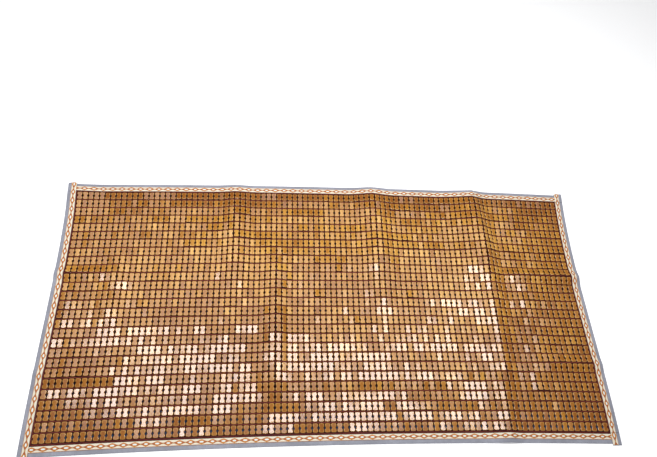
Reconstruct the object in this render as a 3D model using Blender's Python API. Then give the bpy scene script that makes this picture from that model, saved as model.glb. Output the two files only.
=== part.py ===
"""Bamboo sleeping mat: a net of small waisted tiles laced on cords, bound in cloth.

The mat lies on the floor with its long side along X and its back edge at +Y. The tile field
is one sheet whose rows of tiles stand up as ribs. Four doubled cloth bands edge it, the two
short ones laid over the ends of the long ones, and a woven braid is sewn on each band.
Every piece follows the same buckles, which lift the mat off the floor in soft ridges.
"""
import bmesh
import bpy
import numpy as np

MM = 0.001

# The laced net of tiles
COLUMNS, ROWS = 93, 27
TILE_PITCH_Y = 34.0 * MM
HALF_DEPTH = ROWS * TILE_PITCH_Y / 2.0
TILE_THICKNESS = 5.5 * MM
GROOVE_WIDTH = 3.8 * MM
GROOVE_DEPTH = 2.0 * MM

# The bound edge, measured outwards from the outermost cords
EDGE_CORD_WIDTH = 5.0 * MM
BAND_WIDTH = 32.0 * MM
BRAID_WIDTH = 19.0 * MM
SHORT_BAND_OVERHANG = 5.0 * MM
BRAID_END_INSET = 0.6 * MM
SEAM_GAP = 0.3 * MM

# Past the braid a band sinks back towards the floor where a buckle lifts the mat
BAND_DROOP = 0.3

# Cross-section of a band, as (distance outwards, height): flat below, thinner at the fold
BAND_SECTION = [
    (0.0, 0.0),
    (BAND_WIDTH, 0.0),
    (BAND_WIDTH, 1.2 * MM),
    (BAND_WIDTH - 1.2 * MM, 2.2 * MM),
    (BRAID_WIDTH, 2.8 * MM),
    (0.0, 3.0 * MM),
]

# Cross-section of the braid, which lies on the inner part of the band with a low crown
BRAID_SECTION = [
    (0.0, 3.0 * MM + SEAM_GAP),
    (BRAID_WIDTH, 2.8 * MM + SEAM_GAP),
    (BRAID_WIDTH - 0.5 * MM, 4.3 * MM),
    (BRAID_WIDTH / 2.0, 4.7 * MM),
    (0.5 * MM, 4.5 * MM),
]

# Plan of the short edges. At depth v, from -1 at the front to +1 at the back, an edge lies at
# half + lean * v - bow * (1 - v^2) - twist * v * (1 - v^2) from the middle of the length.
EDGE_COLUMNS = ("half", "lean", "bow", "twist")
LEFT_EDGE = (939.0 * MM, -0.7 * MM, 5.8 * MM, 7.8 * MM)
RIGHT_EDGE = (930.4 * MM, 5.9 * MM, 7.7 * MM, 12.3 * MM)

# Plan of the long edges. Both bow towards the back, and the right end is a little shallower.
LONG_EDGE_BOW = 15.6 * MM
DEPTH_LOSS_TO_RIGHT = 1.9 * MM
DEPTH_LOSS_AT_MIDDLE = 1.3 * MM

# Buckles. Each is a row for each station along its crest: where the station is along the
# crest, where the crest lies across it, its height, and how far its two flanks reach, the
# one on the lower side first. "round" is 2 for a rounded crest and 0 for a sharp one.
BUCKLE_COLUMNS = ("along", "crest", "height", "reach_low", "reach_high")
BUCKLES_ACROSS_THE_DEPTH = [
    {   # the tall buckle right of the middle, gentle to the left and steep to the right
        "round": 0.8,
        "stations": [
            (-500, 570, 13, 100, 50),
            (-360, 585, 6, 110, 50),
            (-170, 608, 5, 120, 50),
            (40, 616, 11, 130, 52),
            (200, 611, 24, 170, 58),
            (370, 598, 25, 170, 66),
            (520, 583, 14, 150, 67),
        ],
    },
    {   # the low wide one beside it
        "round": 1.4,
        "stations": [
            (-50, 190, 0, 80, 80),
            (40, 192, 8, 80, 80),
            (200, 194, 15, 95, 95),
            (370, 189, 17, 100, 100),
            (520, 180, 13, 100, 92),
        ],
    },
    {   # left of the middle, along the back half
        "round": 1.4,
        "stations": [
            (20, -340, 0, 75, 75),
            (200, -342, 13, 75, 75),
            (370, -344, 15, 78, 78),
            (520, -346, 5, 80, 80),
        ],
    },
    {   # left of the middle, along the front half
        "round": 1.4,
        "stations": [
            (-400, -199, 0, 70, 60),
            (-250, -198, 13, 75, 60),
            (-100, -195, 18, 80, 62),
            (100, -193, 11, 68, 50),
            (320, -201, 0, 68, 55),
        ],
    },
    {   # a slight one near the left end
        "round": 1.2,
        "stations": [
            (-120, -755, 0, 70, 60),
            (0, -755, 7, 70, 60),
            (100, -755, 8, 70, 60),
            (250, -760, 0, 70, 60),
        ],
    },
    {   # the back left corner, which curls up
        "round": 1.2,
        "stations": [
            (340, -975, 0, 100, 130),
            (520, -975, 15, 100, 150),
        ],
    },
]
BUCKLES_ALONG_THE_LENGTH = [
    {   # a crease in from the left edge
        "round": 0.8,
        "stations": [
            (-1000, 120, 10, 36, 37),
            (-790, 127, 7, 34, 35),
            (-670, 130, 0, 35, 35),
        ],
    },
    {   # its twin on the right, which starts at the tall buckle
        "round": 0.8,
        "stations": [
            (620, 130, 0, 40, 40),
            (730, 117, 13, 46, 44),
            (1000, 120, 13, 43, 40),
        ],
    },
    {   # a lower crease in from the left edge
        "round": 0.8,
        "stations": [
            (-1000, -240, 5, 36, 36),
            (-790, -241, 7, 36, 36),
            (-690, -240, 0, 35, 35),
        ],
    },
    {   # and one in from the right edge
        "round": 0.8,
        "stations": [
            (690, -216, 0, 36, 36),
            (810, -222, 10, 40, 38),
            (1000, -223, 5, 38, 36),
        ],
    },
]

# Sections of the solids: every second column cord, and every one on the tall buckle
COARSE_STEP = 2
FINE_COLUMNS = range(74, 83)
MARCH_STEPS = 400

# Colours as sRGB, 0 to 255, with the roughness of each finish
BAMBOO_COLOUR, BAMBOO_ROUGHNESS = (205, 155, 95), 0.35
CLOTH_COLOUR, CLOTH_ROUGHNESS = (150, 150, 165), 0.8
BRAID_COLOUR, BRAID_ROUGHNESS = (240, 226, 205), 0.75


def eased_table(at, stations, values):
    """Read a table between its stations with slopes that vanish at each station."""
    stations = np.asarray(stations, float)
    values = np.asarray(values, float)
    span = np.clip(np.searchsorted(stations, at) - 1, 0, len(stations) - 2)
    part = np.clip((at - stations[span]) / (stations[span + 1] - stations[span]), 0.0, 1.0)
    eased = part * part * (3.0 - 2.0 * part)
    return values[span] * (1.0 - eased) + values[span + 1] * eased


def buckle_height(along, across, buckle):
    """Height of one buckle: h * (1 - t)^2 * (1 + round * t), t being 0 at the crest."""
    columns = dict(zip(BUCKLE_COLUMNS, np.array(buckle["stations"], float).T * MM))
    places = columns["along"]
    crest = eased_table(along, places, columns["crest"])
    height = eased_table(along, places, columns["height"])
    reach_low = eased_table(along, places, columns["reach_low"])
    reach_high = eased_table(along, places, columns["reach_high"])
    offset = across - crest
    t = np.clip(np.where(offset < 0.0, -offset / reach_low, offset / reach_high), 0.0, 1.0)
    return height * (1.0 - t) ** 2 * (1.0 + buckle["round"] * t)


def floor_height(x, y):
    """Rise of the mat's underside: the highest buckle, blended softly where two meet."""
    cubes = sum(buckle_height(y, x, buckle) ** 3 for buckle in BUCKLES_ACROSS_THE_DEPTH)
    cubes = cubes + sum(buckle_height(x, y, buckle) ** 3 for buckle in BUCKLES_ALONG_THE_LENGTH)
    return np.cbrt(cubes)


def short_edge_x(side, v):
    """X of a short edge at depth v, carried on straight past the ends of the net."""
    edge = dict(zip(EDGE_COLUMNS, RIGHT_EDGE if side > 0 else LEFT_EDGE))
    inside = np.clip(v, -1.0, 1.0)
    curve = 1.0 - inside * inside
    reach = edge["half"] + edge["lean"] * inside
    reach = reach - (edge["bow"] + edge["twist"] * inside) * curve
    end_slope = edge["lean"] + 2.0 * inside * (edge["bow"] + edge["twist"] * inside)
    return side * (reach + end_slope * (v - inside))


def plan_y(u, v):
    """Y at the fraction u of the half length and v of the half depth, before buckling."""
    arch = 1.0 - u * u
    reach = HALF_DEPTH - DEPTH_LOSS_TO_RIGHT * u - DEPTH_LOSS_AT_MIDDLE * arch
    return v * reach + LONG_EDGE_BOW * arch


def cord_net():
    """Plan places of the crossings of the row cords and column cords, as two arrays.

    Cords keep their length, so crossings are evenly spaced along the buckled surface and
    closer together in plan where it is steep.
    """
    v = np.linspace(-1.0, 1.0, ROWS + 1)
    u = np.linspace(-1.0, 1.0, COLUMNS + 1)
    march = np.linspace(-1.0, 1.0, MARCH_STEPS)
    left, right = short_edge_x(-1, v), short_edge_x(1, v)

    net_x = np.empty((ROWS + 1, COLUMNS + 1))
    for j in range(ROWS + 1):
        x = left[j] + (march + 1.0) / 2.0 * (right[j] - left[j])
        z = floor_height(x, plan_y(march, v[j]))
        run = np.concatenate([[0.0], np.cumsum(np.hypot(np.diff(x), np.diff(z)))])
        net_x[j] = np.interp((u + 1.0) / 2.0 * run[-1], run, x)

    across = 2.0 * (net_x - left[:, None]) / (right - left)[:, None] - 1.0
    net_y = np.empty_like(net_x)
    for i in range(COLUMNS + 1):
        y = plan_y(across[:, i].mean(), march)
        z = floor_height(net_x[:, i].mean(), y)
        run = np.concatenate([[0.0], np.cumsum(np.hypot(np.diff(y), np.diff(z)))])
        depth = np.interp((v + 1.0) / 2.0 * run[-1], run, march)
        net_y[:, i] = plan_y(across[:, i], depth)
    return net_x, net_y


def section_columns():
    """The column cords at which the solids have a section."""
    coarse = range(0, COLUMNS + 1, COARSE_STEP)
    return sorted(set(coarse) | set(FINE_COLUMNS) | {COLUMNS})


def tile_field(net_x, net_y):
    """The net of tiles as one sheet: ribbed above, a row to each rib, and smooth below."""
    margin = EDGE_CORD_WIDTH - SEAM_GAP
    columns = section_columns()
    x = net_x[:, columns].copy()
    y = net_y[:, columns].copy()
    x[:, 0] -= margin
    x[:, -1] += margin
    line_x, line_y = x.copy(), y.copy()
    line_y[0] -= margin
    line_y[-1] += margin

    # Above: the floor of a groove at each row cord, and the two edges of each rib
    groove_part = GROOVE_WIDTH / 2.0 / TILE_PITCH_Y
    top_x, top_y, top_rise = [line_x[0]], [line_y[0]], [TILE_THICKNESS - GROOVE_DEPTH]
    for row in range(ROWS):
        for part in (groove_part, 1.0 - groove_part):
            top_x.append(x[row] * (1.0 - part) + x[row + 1] * part)
            top_y.append(y[row] * (1.0 - part) + y[row + 1] * part)
            top_rise.append(TILE_THICKNESS)
        top_x.append(line_x[row + 1])
        top_y.append(line_y[row + 1])
        top_rise.append(TILE_THICKNESS - GROOVE_DEPTH)
    top_x, top_y = np.array(top_x), np.array(top_y)
    top_z = floor_height(top_x, top_y) + np.array(top_rise)[:, None]

    lines, width = top_x.shape
    bottom = np.stack([line_x, line_y, floor_height(line_x, line_y)], axis=-1)
    top = np.stack([top_x, top_y, top_z], axis=-1)
    vertices = np.concatenate([bottom.reshape(-1, 3), top.reshape(-1, 3)])

    def low(j, i):
        return j * width + i

    def high(k, i):
        return (ROWS + 1) * width + k * width + i

    faces = []
    for i in range(width - 1):
        for j in range(ROWS):
            faces.append((low(j, i), low(j + 1, i), low(j + 1, i + 1), low(j, i + 1)))
        for k in range(lines - 1):
            faces.append((high(k, i), high(k, i + 1), high(k + 1, i + 1), high(k + 1, i)))
        faces.append((low(0, i), low(0, i + 1), high(0, i + 1), high(0, i)))
        faces.append((low(ROWS, i), high(lines - 1, i), high(lines - 1, i + 1), low(ROWS, i + 1)))
    rib_lines = (lines - 1) // ROWS
    for j in range(ROWS):
        tops = range(rib_lines * j, rib_lines * (j + 1) + 1)
        faces.append((low(j, 0), *(high(k, 0) for k in tops), low(j + 1, 0)))
        last = width - 1
        faces.append((low(j + 1, last), *(high(k, last) for k in reversed(tops)), low(j, last)))
    return vertices, faces


def droop(out):
    """Share of a buckle's height that a band keeps, this far outwards."""
    past_braid = max(0.0, out - BRAID_WIDTH) / (BAND_WIDTH - BRAID_WIDTH)
    return 1.0 - BAND_DROOP * past_braid


def swept_strip(sections):
    """Close a row of equal cross-sections into a solid, with a flat cap at each end."""
    count, points = sections.shape[:2]
    faces = [tuple(range(points)), tuple(reversed(range((count - 1) * points, count * points)))]
    for s in range(count - 1):
        for p in range(points):
            q = (p + 1) % points
            near, far = s * points, (s + 1) * points
            faces.append((near + q, near + p, far + p, far + q))
    return sections.reshape(-1, 3), faces


def long_strip(side, net_x, net_y, section):
    """A strip along the front (side -1) or the back (side +1), between the short bands."""
    row = ROWS if side > 0 else 0
    columns = section_columns()
    rail_x, rail_y = net_x[row, columns], net_y[row, columns]
    rail_z = floor_height(rail_x, rail_y)
    left, right = short_edge_x(-1, float(side)), short_edge_x(1, float(side))
    fraction = (rail_x - left) / (right - left)
    end_gap = EDGE_CORD_WIDTH - SEAM_GAP

    sections = np.empty((len(columns), len(section), 3))
    for p, (out, rise) in enumerate(section):
        v = side * (1.0 + (EDGE_CORD_WIDTH + out) / HALF_DEPTH)
        start = short_edge_x(-1, v) - end_gap
        end = short_edge_x(1, v) + end_gap
        sections[:, p, 0] = start + fraction * (end - start)
        sections[:, p, 1] = rail_y + side * (EDGE_CORD_WIDTH + out)
        sections[:, p, 2] = rail_z * droop(out) + rise
    return swept_strip(sections)


def short_strip(side, net_x, net_y, section, end_inset=0.0):
    """A strip along the left (side -1) or right (side +1), over the ends of the long bands."""
    column = COLUMNS if side > 0 else 0
    rail_x, rail_y = net_x[:, column], net_y[:, column]
    rail_z = floor_height(rail_x, rail_y)
    reach = EDGE_CORD_WIDTH + BAND_WIDTH + SHORT_BAND_OVERHANG - end_inset
    v_end = 1.0 + reach / HALF_DEPTH
    end_x = short_edge_x(side, np.array([-v_end, v_end]))
    end_z = rail_z[[0, -1]] * (1.0 - BAND_DROOP)
    x = np.concatenate([end_x[:1], rail_x, end_x[1:]])
    y = np.concatenate([[rail_y[0] - reach], rail_y, [rail_y[-1] + reach]])
    z = np.concatenate([end_z[:1], rail_z, end_z[1:]])

    sections = np.empty((len(y), len(section), 3))
    for p, (out, rise) in enumerate(section):
        sections[:, p, 0] = x + side * (EDGE_CORD_WIDTH + out)
        sections[:, p, 1] = y
        sections[:, p, 2] = z * droop(out) + rise
    return swept_strip(sections)


def linear_colour(srgb):
    """Turn an sRGB colour, 0 to 255, into the linear values that a material takes."""
    c = np.array(srgb) / 255.0
    linear = np.where(c <= 0.04045, c / 12.92, ((c + 0.055) / 1.055) ** 2.4)
    return (*linear.tolist(), 1.0)


def finish(name, colour, roughness):
    """A Principled material of one colour."""
    material = bpy.data.materials.new(name)
    material.use_nodes = True
    shader = material.node_tree.nodes["Principled BSDF"]
    shader.inputs["Base Color"].default_value = linear_colour(colour)
    shader.inputs["Roughness"].default_value = roughness
    shader.inputs["Metallic"].default_value = 0.0
    return material


def add_solid(name, shape, material, parent, location):
    """Make an object of vertices and faces, with every face pointing outwards."""
    vertices, faces = shape
    mesh = bpy.data.meshes.new(name)
    mesh.from_pydata(vertices.tolist(), [], faces)
    bm = bmesh.new()
    bm.from_mesh(mesh)
    bmesh.ops.recalc_face_normals(bm, faces=bm.faces)
    bm.to_mesh(mesh)
    bm.free()
    mesh.materials.append(material)
    solid = bpy.data.objects.new(name, mesh)
    solid.location = location
    solid.parent = parent
    bpy.context.collection.objects.link(solid)
    return solid


def main():
    for old in list(bpy.data.objects):
        bpy.data.objects.remove(old, do_unlink=True)

    net_x, net_y = cord_net()
    bamboo = finish("bamboo", BAMBOO_COLOUR, BAMBOO_ROUGHNESS)
    cloth = finish("band_cloth", CLOTH_COLOUR, CLOTH_ROUGHNESS)
    woven = finish("woven_braid", BRAID_COLOUR, BRAID_ROUGHNESS)

    pieces = [("tile_field", tile_field(net_x, net_y), bamboo)]
    for place, side in (("front", -1), ("back", 1)):
        band = long_strip(side, net_x, net_y, BAND_SECTION)
        braid = long_strip(side, net_x, net_y, BRAID_SECTION)
        pieces += [("cloth_band_" + place, band, cloth), ("braid_" + place, braid, woven)]
    for place, side in (("left", -1), ("right", 1)):
        band = short_strip(side, net_x, net_y, BAND_SECTION)
        braid = short_strip(side, net_x, net_y, BRAID_SECTION, BRAID_END_INSET)
        pieces += [("cloth_band_" + place, band, cloth), ("braid_" + place, braid, woven)]

    # The origin is on the floor under the middle of the whole outline
    reach = np.concatenate([shape[0] for _, shape, _ in pieces])
    middle = (reach.min(axis=0) + reach.max(axis=0)) / 2.0
    mat = bpy.data.objects.new("mat", None)
    bpy.context.collection.objects.link(mat)
    for name, shape, material in pieces:
        add_solid(name, shape, material, mat, (-middle[0], -middle[1], 0.0))


main()
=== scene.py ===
# %% [markdown]
# # A laced bamboo sleeping mat
# The real thing is a summer bed mat: 2511 small waisted bamboo tiles, laced both ways on dark
# cords, with a grey cloth band and a woven braid sewn round the edge. A plain solid model of it
# is already packed, and this lesson dresses that model. Everything that is made below sits in
# that same frame, in metres, with the floor at zero height.

import bpy
import numpy as np
from mathutils import Matrix, Vector


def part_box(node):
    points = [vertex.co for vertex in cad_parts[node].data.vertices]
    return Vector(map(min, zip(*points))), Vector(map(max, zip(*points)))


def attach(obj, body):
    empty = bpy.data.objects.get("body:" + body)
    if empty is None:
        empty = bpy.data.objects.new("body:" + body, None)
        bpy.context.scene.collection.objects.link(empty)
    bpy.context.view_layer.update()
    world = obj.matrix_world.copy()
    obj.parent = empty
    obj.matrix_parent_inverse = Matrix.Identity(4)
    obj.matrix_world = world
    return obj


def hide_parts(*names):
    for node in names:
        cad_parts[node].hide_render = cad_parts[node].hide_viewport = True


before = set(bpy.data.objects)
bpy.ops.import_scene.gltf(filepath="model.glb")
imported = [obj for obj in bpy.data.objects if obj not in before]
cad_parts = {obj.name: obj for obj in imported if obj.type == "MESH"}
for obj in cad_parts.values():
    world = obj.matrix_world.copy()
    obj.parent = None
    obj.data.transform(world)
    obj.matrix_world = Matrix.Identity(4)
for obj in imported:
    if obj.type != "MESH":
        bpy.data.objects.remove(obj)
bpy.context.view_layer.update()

MM = 0.001

# %% [markdown]
# ## The camera
# A camera could be aimed with a Track To constraint, but a lens that was solved from the
# outline and the rows of tiles in a photograph comes as three turns and a place. So the matrix
# is written out. Forward comes from yaw and pitch, right is level and square to it, up is the
# cross product of the two, and the roll then turns right and up about the line of sight.

# %% Aim the camera
PICTURE_WIDTH = 657
FOCAL_PIXELS = 641.6
SENSOR_WIDTH = 36.0
CLIP_START, CLIP_END = 0.05, 60.0
CAMERA_PLACE = (-0.2531, -0.9068, 2.1094)
CAMERA_YAW, CAMERA_PITCH, CAMERA_ROLL = np.radians([11.991, 59.302, 11.192])


def camera_matrix(place, yaw, pitch, roll):
    """Right, up and backward axes: yaw turns from +Y towards +X, pitch tips the view down."""
    forward = np.array([
        np.sin(yaw) * np.cos(pitch),
        np.cos(yaw) * np.cos(pitch),
        -np.sin(pitch),
    ])
    right = np.array([np.cos(yaw), -np.sin(yaw), 0.0])
    up = np.cross(right, forward)
    matrix = np.eye(4)
    matrix[:3, 0] = right * np.cos(roll) + up * np.sin(roll)
    matrix[:3, 1] = up * np.cos(roll) - right * np.sin(roll)
    matrix[:3, 2] = -forward
    matrix[:3, 3] = place
    return Matrix(matrix.tolist())


def new_object(name, data):
    """An object that shows the data, linked into the scene."""
    made = bpy.data.objects.new(name, data)
    bpy.context.scene.collection.objects.link(made)
    return made


camera = new_object("camera", bpy.data.cameras.new("camera"))
camera.data.sensor_width = SENSOR_WIDTH
camera.data.lens = FOCAL_PIXELS / PICTURE_WIDTH * SENSOR_WIDTH
camera.data.clip_start, camera.data.clip_end = CLIP_START, CLIP_END
camera.matrix_world = camera_matrix(CAMERA_PLACE, CAMERA_YAW, CAMERA_PITCH, CAMERA_ROLL)
bpy.context.scene.camera = camera
print("lens, mm:", round(camera.data.lens, 2))

# %% [markdown]
# ## The net's own shape
# The mat lies almost flat, with a few soft buckles. Cloth physics could raise such folds, but
# they would land somewhere else each time the sizes change. Here each buckle is a row of
# stations along its crest, read with an eased curve, and its cross-section is one short
# formula. The same tables shape the solid model, so tiles, cords and bands all agree with it.

# %% Sizes of the net and its edges
COLUMNS, ROWS = 93, 27
TILE_PITCH_X, TILE_PITCH_Y = 20.1 * MM, 34.0 * MM
HALF_DEPTH = ROWS * TILE_PITCH_Y / 2.0
EDGE_CORD_WIDTH = 5.0 * MM
BAND_WIDTH, BRAID_WIDTH = 32.0 * MM, 19.0 * MM
SHORT_BAND_OVERHANG = 5.0 * MM
BAND_DROOP = 0.3
SEAM_GAP = 0.3 * MM

# Half length, lean, bow and twist of each short edge
LEFT_EDGE = (939.0 * MM, -0.7 * MM, 5.8 * MM, 7.8 * MM)
RIGHT_EDGE = (930.4 * MM, 5.9 * MM, 7.7 * MM, 12.3 * MM)
LONG_EDGE_BOW = 15.6 * MM
DEPTH_LOSS_TO_RIGHT, DEPTH_LOSS_AT_MIDDLE = 1.9 * MM, 1.3 * MM

# Roundness of each buckle, and its stations in millimetres: place along the crest, where the
# crest lies there, its height, and its reach to the lower and the higher side
BUCKLES_ACROSS_THE_DEPTH = [
    (0.8, [(-500, 570, 13, 100, 50), (-360, 585, 6, 110, 50), (-170, 608, 5, 120, 50),
           (40, 616, 11, 130, 52), (200, 611, 24, 170, 58), (370, 598, 25, 170, 66),
           (520, 583, 14, 150, 67)]),
    (1.4, [(-50, 190, 0, 80, 80), (40, 192, 8, 80, 80), (200, 194, 15, 95, 95),
           (370, 189, 17, 100, 100), (520, 180, 13, 100, 92)]),
    (1.4, [(20, -340, 0, 75, 75), (200, -342, 13, 75, 75), (370, -344, 15, 78, 78),
           (520, -346, 5, 80, 80)]),
    (1.4, [(-400, -199, 0, 70, 60), (-250, -198, 13, 75, 60), (-100, -195, 18, 80, 62),
           (100, -193, 11, 68, 50), (320, -201, 0, 68, 55)]),
    (1.2, [(-120, -755, 0, 70, 60), (0, -755, 7, 70, 60), (100, -755, 8, 70, 60),
           (250, -760, 0, 70, 60)]),
    (1.2, [(340, -975, 0, 100, 130), (520, -975, 15, 100, 150)]),
]
BUCKLES_ALONG_THE_LENGTH = [
    (0.8, [(-1000, 120, 10, 36, 37), (-790, 127, 7, 34, 35), (-670, 130, 0, 35, 35)]),
    (0.8, [(620, 130, 0, 40, 40), (730, 117, 13, 46, 44), (1000, 120, 13, 43, 40)]),
    (0.8, [(-1000, -240, 5, 36, 36), (-790, -241, 7, 36, 36), (-690, -240, 0, 35, 35)]),
    (0.8, [(690, -216, 0, 36, 36), (810, -222, 10, 40, 38), (1000, -223, 5, 38, 36)]),
]


# %% Heights and outline as formulas
def eased_table(at, stations, values):
    """Read a table between its stations along a smoothstep, 3 t^2 - 2 t^3."""
    span = np.clip(np.searchsorted(stations, at) - 1, 0, len(stations) - 2)
    part = np.clip((at - stations[span]) / (stations[span + 1] - stations[span]), 0.0, 1.0)
    eased = part * part * (3.0 - 2.0 * part)
    return values[span] * (1.0 - eased) + values[span + 1] * eased


def buckle_height(along, across, buckle):
    """Height h (1 - t)^2 (1 + round t), where t runs from 0 on the crest to 1 at its foot."""
    roundness, stations = buckle
    places, *columns = np.array(stations, float).T * MM
    crest, height, reach_low, reach_high = (
        eased_table(along, places, column) for column in columns
    )
    offset = across - crest
    t = np.clip(np.where(offset < 0.0, -offset / reach_low, offset / reach_high), 0.0, 1.0)
    return height * (1.0 - t) ** 2 * (1.0 + roundness * t)


def floor_height(x, y):
    """Rise of the mat's underside: the cube root of the sum of all the buckles cubed."""
    cubes = sum(buckle_height(y, x, buckle) ** 3 for buckle in BUCKLES_ACROSS_THE_DEPTH)
    cubes = cubes + sum(buckle_height(x, y, buckle) ** 3 for buckle in BUCKLES_ALONG_THE_LENGTH)
    return np.cbrt(cubes)


def short_edge_x(side, v):
    """X of a short edge: half + lean v - (bow + twist v)(1 - v^2), straight past its ends."""
    half, lean, bow, twist = RIGHT_EDGE if side > 0 else LEFT_EDGE
    inside = np.clip(v, -1.0, 1.0)
    reach = half + lean * inside - (bow + twist * inside) * (1.0 - inside * inside)
    end_slope = lean + 2.0 * inside * (bow + twist * inside)
    return side * (reach + end_slope * (v - inside))


def plan_y(u, v):
    """Y at the shares u and v of the half length and half depth, each from -1 to 1."""
    arch = 1.0 - u * u
    reach = HALF_DEPTH - DEPTH_LOSS_TO_RIGHT * u - DEPTH_LOSS_AT_MIDDLE * arch
    return v * reach + LONG_EDGE_BOW * arch


# %% [markdown]
# ## Where the cords cross
# Cords don't stretch, so the crossings are evenly spaced along the buckled surface and come
# closer together in plan where it is steep. Each cord is walked in small steps, rows first and
# then columns. The run along the surface is added up on the way, and the crossings are read off
# it at equal distances.

# %% Lay out the crossings
MARCH_STEPS = 400


def evenly_along(run, places, count):
    """The places at `count` + 1 equal steps of the run that is measured along a curve."""
    return np.interp(np.linspace(0.0, run[-1], count + 1), run, places)


def measured_run(flat, height):
    """Distance along a curve, added up from its flat and upward steps."""
    return np.concatenate([[0.0], np.cumsum(np.hypot(np.diff(flat), np.diff(height)))])


def cord_net():
    """Plan places of all crossings, as two arrays with a row for each row cord."""
    v = np.linspace(-1.0, 1.0, ROWS + 1)
    march = np.linspace(-1.0, 1.0, MARCH_STEPS)
    left, right = short_edge_x(-1, v), short_edge_x(1, v)
    across_x = np.empty((ROWS + 1, COLUMNS + 1))
    for row in range(ROWS + 1):
        x = left[row] + (march + 1.0) / 2.0 * (right[row] - left[row])
        run = measured_run(x, floor_height(x, plan_y(march, v[row])))
        across_x[row] = evenly_along(run, x, COLUMNS)
    share = 2.0 * (across_x - left[:, None]) / (right - left)[:, None] - 1.0
    across_y = np.empty_like(across_x)
    for column in range(COLUMNS + 1):
        y = plan_y(share[:, column].mean(), march)
        run = measured_run(y, floor_height(across_x[:, column].mean(), y))
        across_y[:, column] = plan_y(share[:, column], evenly_along(run, march, ROWS))
    return across_x, across_y


net_x, net_y = cord_net()
net_z = floor_height(net_x, net_y)

# The solid model has the middle of its outline at the origin, so the net is moved along
field_low, field_high = (np.array(corner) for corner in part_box("tile_field"))
MAT_SHIFT = np.array([
    (field_low[0] + field_high[0]) / 2.0 - (net_x.min() + net_x.max()) / 2.0,
    (field_low[1] + field_high[1]) / 2.0 - (net_y.min() + net_y.max()) / 2.0,
    0.0,
])
print("crossings:", net_x.size, "moved by, mm:", np.round(MAT_SHIFT / MM, 2))

# %% [markdown]
# ## A helper that turns arrays into a mesh
# Blender can take a mesh face by face, but thousands of tiles are quicker as flat arrays.
# `foreach_set` copies whole arrays at once: the points, then the corners of all faces in one
# long list, then where in that list each face begins. Extra values go along as a UV map, which
# belongs to the corners, or as attributes, which belong to points or faces.


# %% Arrays to mesh
def make_piece(name, node, finish, points, faces, maps, values=(), smooth=True):
    """A mesh object that stands for a solid node and takes the material of a finish, whose slot
    is not used.

    `faces` is a list of integer arrays, each with one row for each face. A map has a place for
    each point, or one for each corner where it has a seam.
    """
    slot, material = finish
    sizes = np.concatenate([np.full(len(block), block.shape[1]) for block in faces])
    corners = np.concatenate([block.ravel() for block in faces])
    mesh = bpy.data.meshes.new(name)
    mesh.vertices.add(len(points))
    mesh.vertices.foreach_set("co", (points + MAT_SHIFT).astype(np.float32).ravel())
    mesh.loops.add(len(corners))
    mesh.loops.foreach_set("vertex_index", corners.astype(np.int32))
    mesh.polygons.add(len(sizes))
    mesh.polygons.foreach_set("loop_start", (np.cumsum(sizes) - sizes).astype(np.int32))
    mesh.update(calc_edges=True)
    mesh.polygons.foreach_set("use_smooth", np.broadcast_to(smooth, len(sizes)).copy())
    for map_name, places in maps.items():
        if len(places) == len(points):
            places = places[corners]
        layer = mesh.uv_layers.new(name=map_name)
        layer.uv.foreach_set("vector", places.astype(np.float32).ravel())
    for value_name, domain, numbers in values:
        attribute = mesh.attributes.new(value_name, "FLOAT", domain)
        attribute.data.foreach_set("value", numbers.astype(np.float32))
    mesh.validate()
    mesh.materials.append(material)
    mesh.calc_loop_triangles()
    print(name, "triangles:", len(mesh.loop_triangles))
    piece = new_object(name, mesh)
    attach(piece, "root")
    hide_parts(node)
    return piece


# %% [markdown]
# ## A helper for node trees
# Materials here are wired from small nodes. Adding each node by hand takes four lines, so this
# helper adds one, feeds its sockets from numbers or other sockets, and returns its output. It
# is used inside shared groups as well as inside materials.


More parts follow.
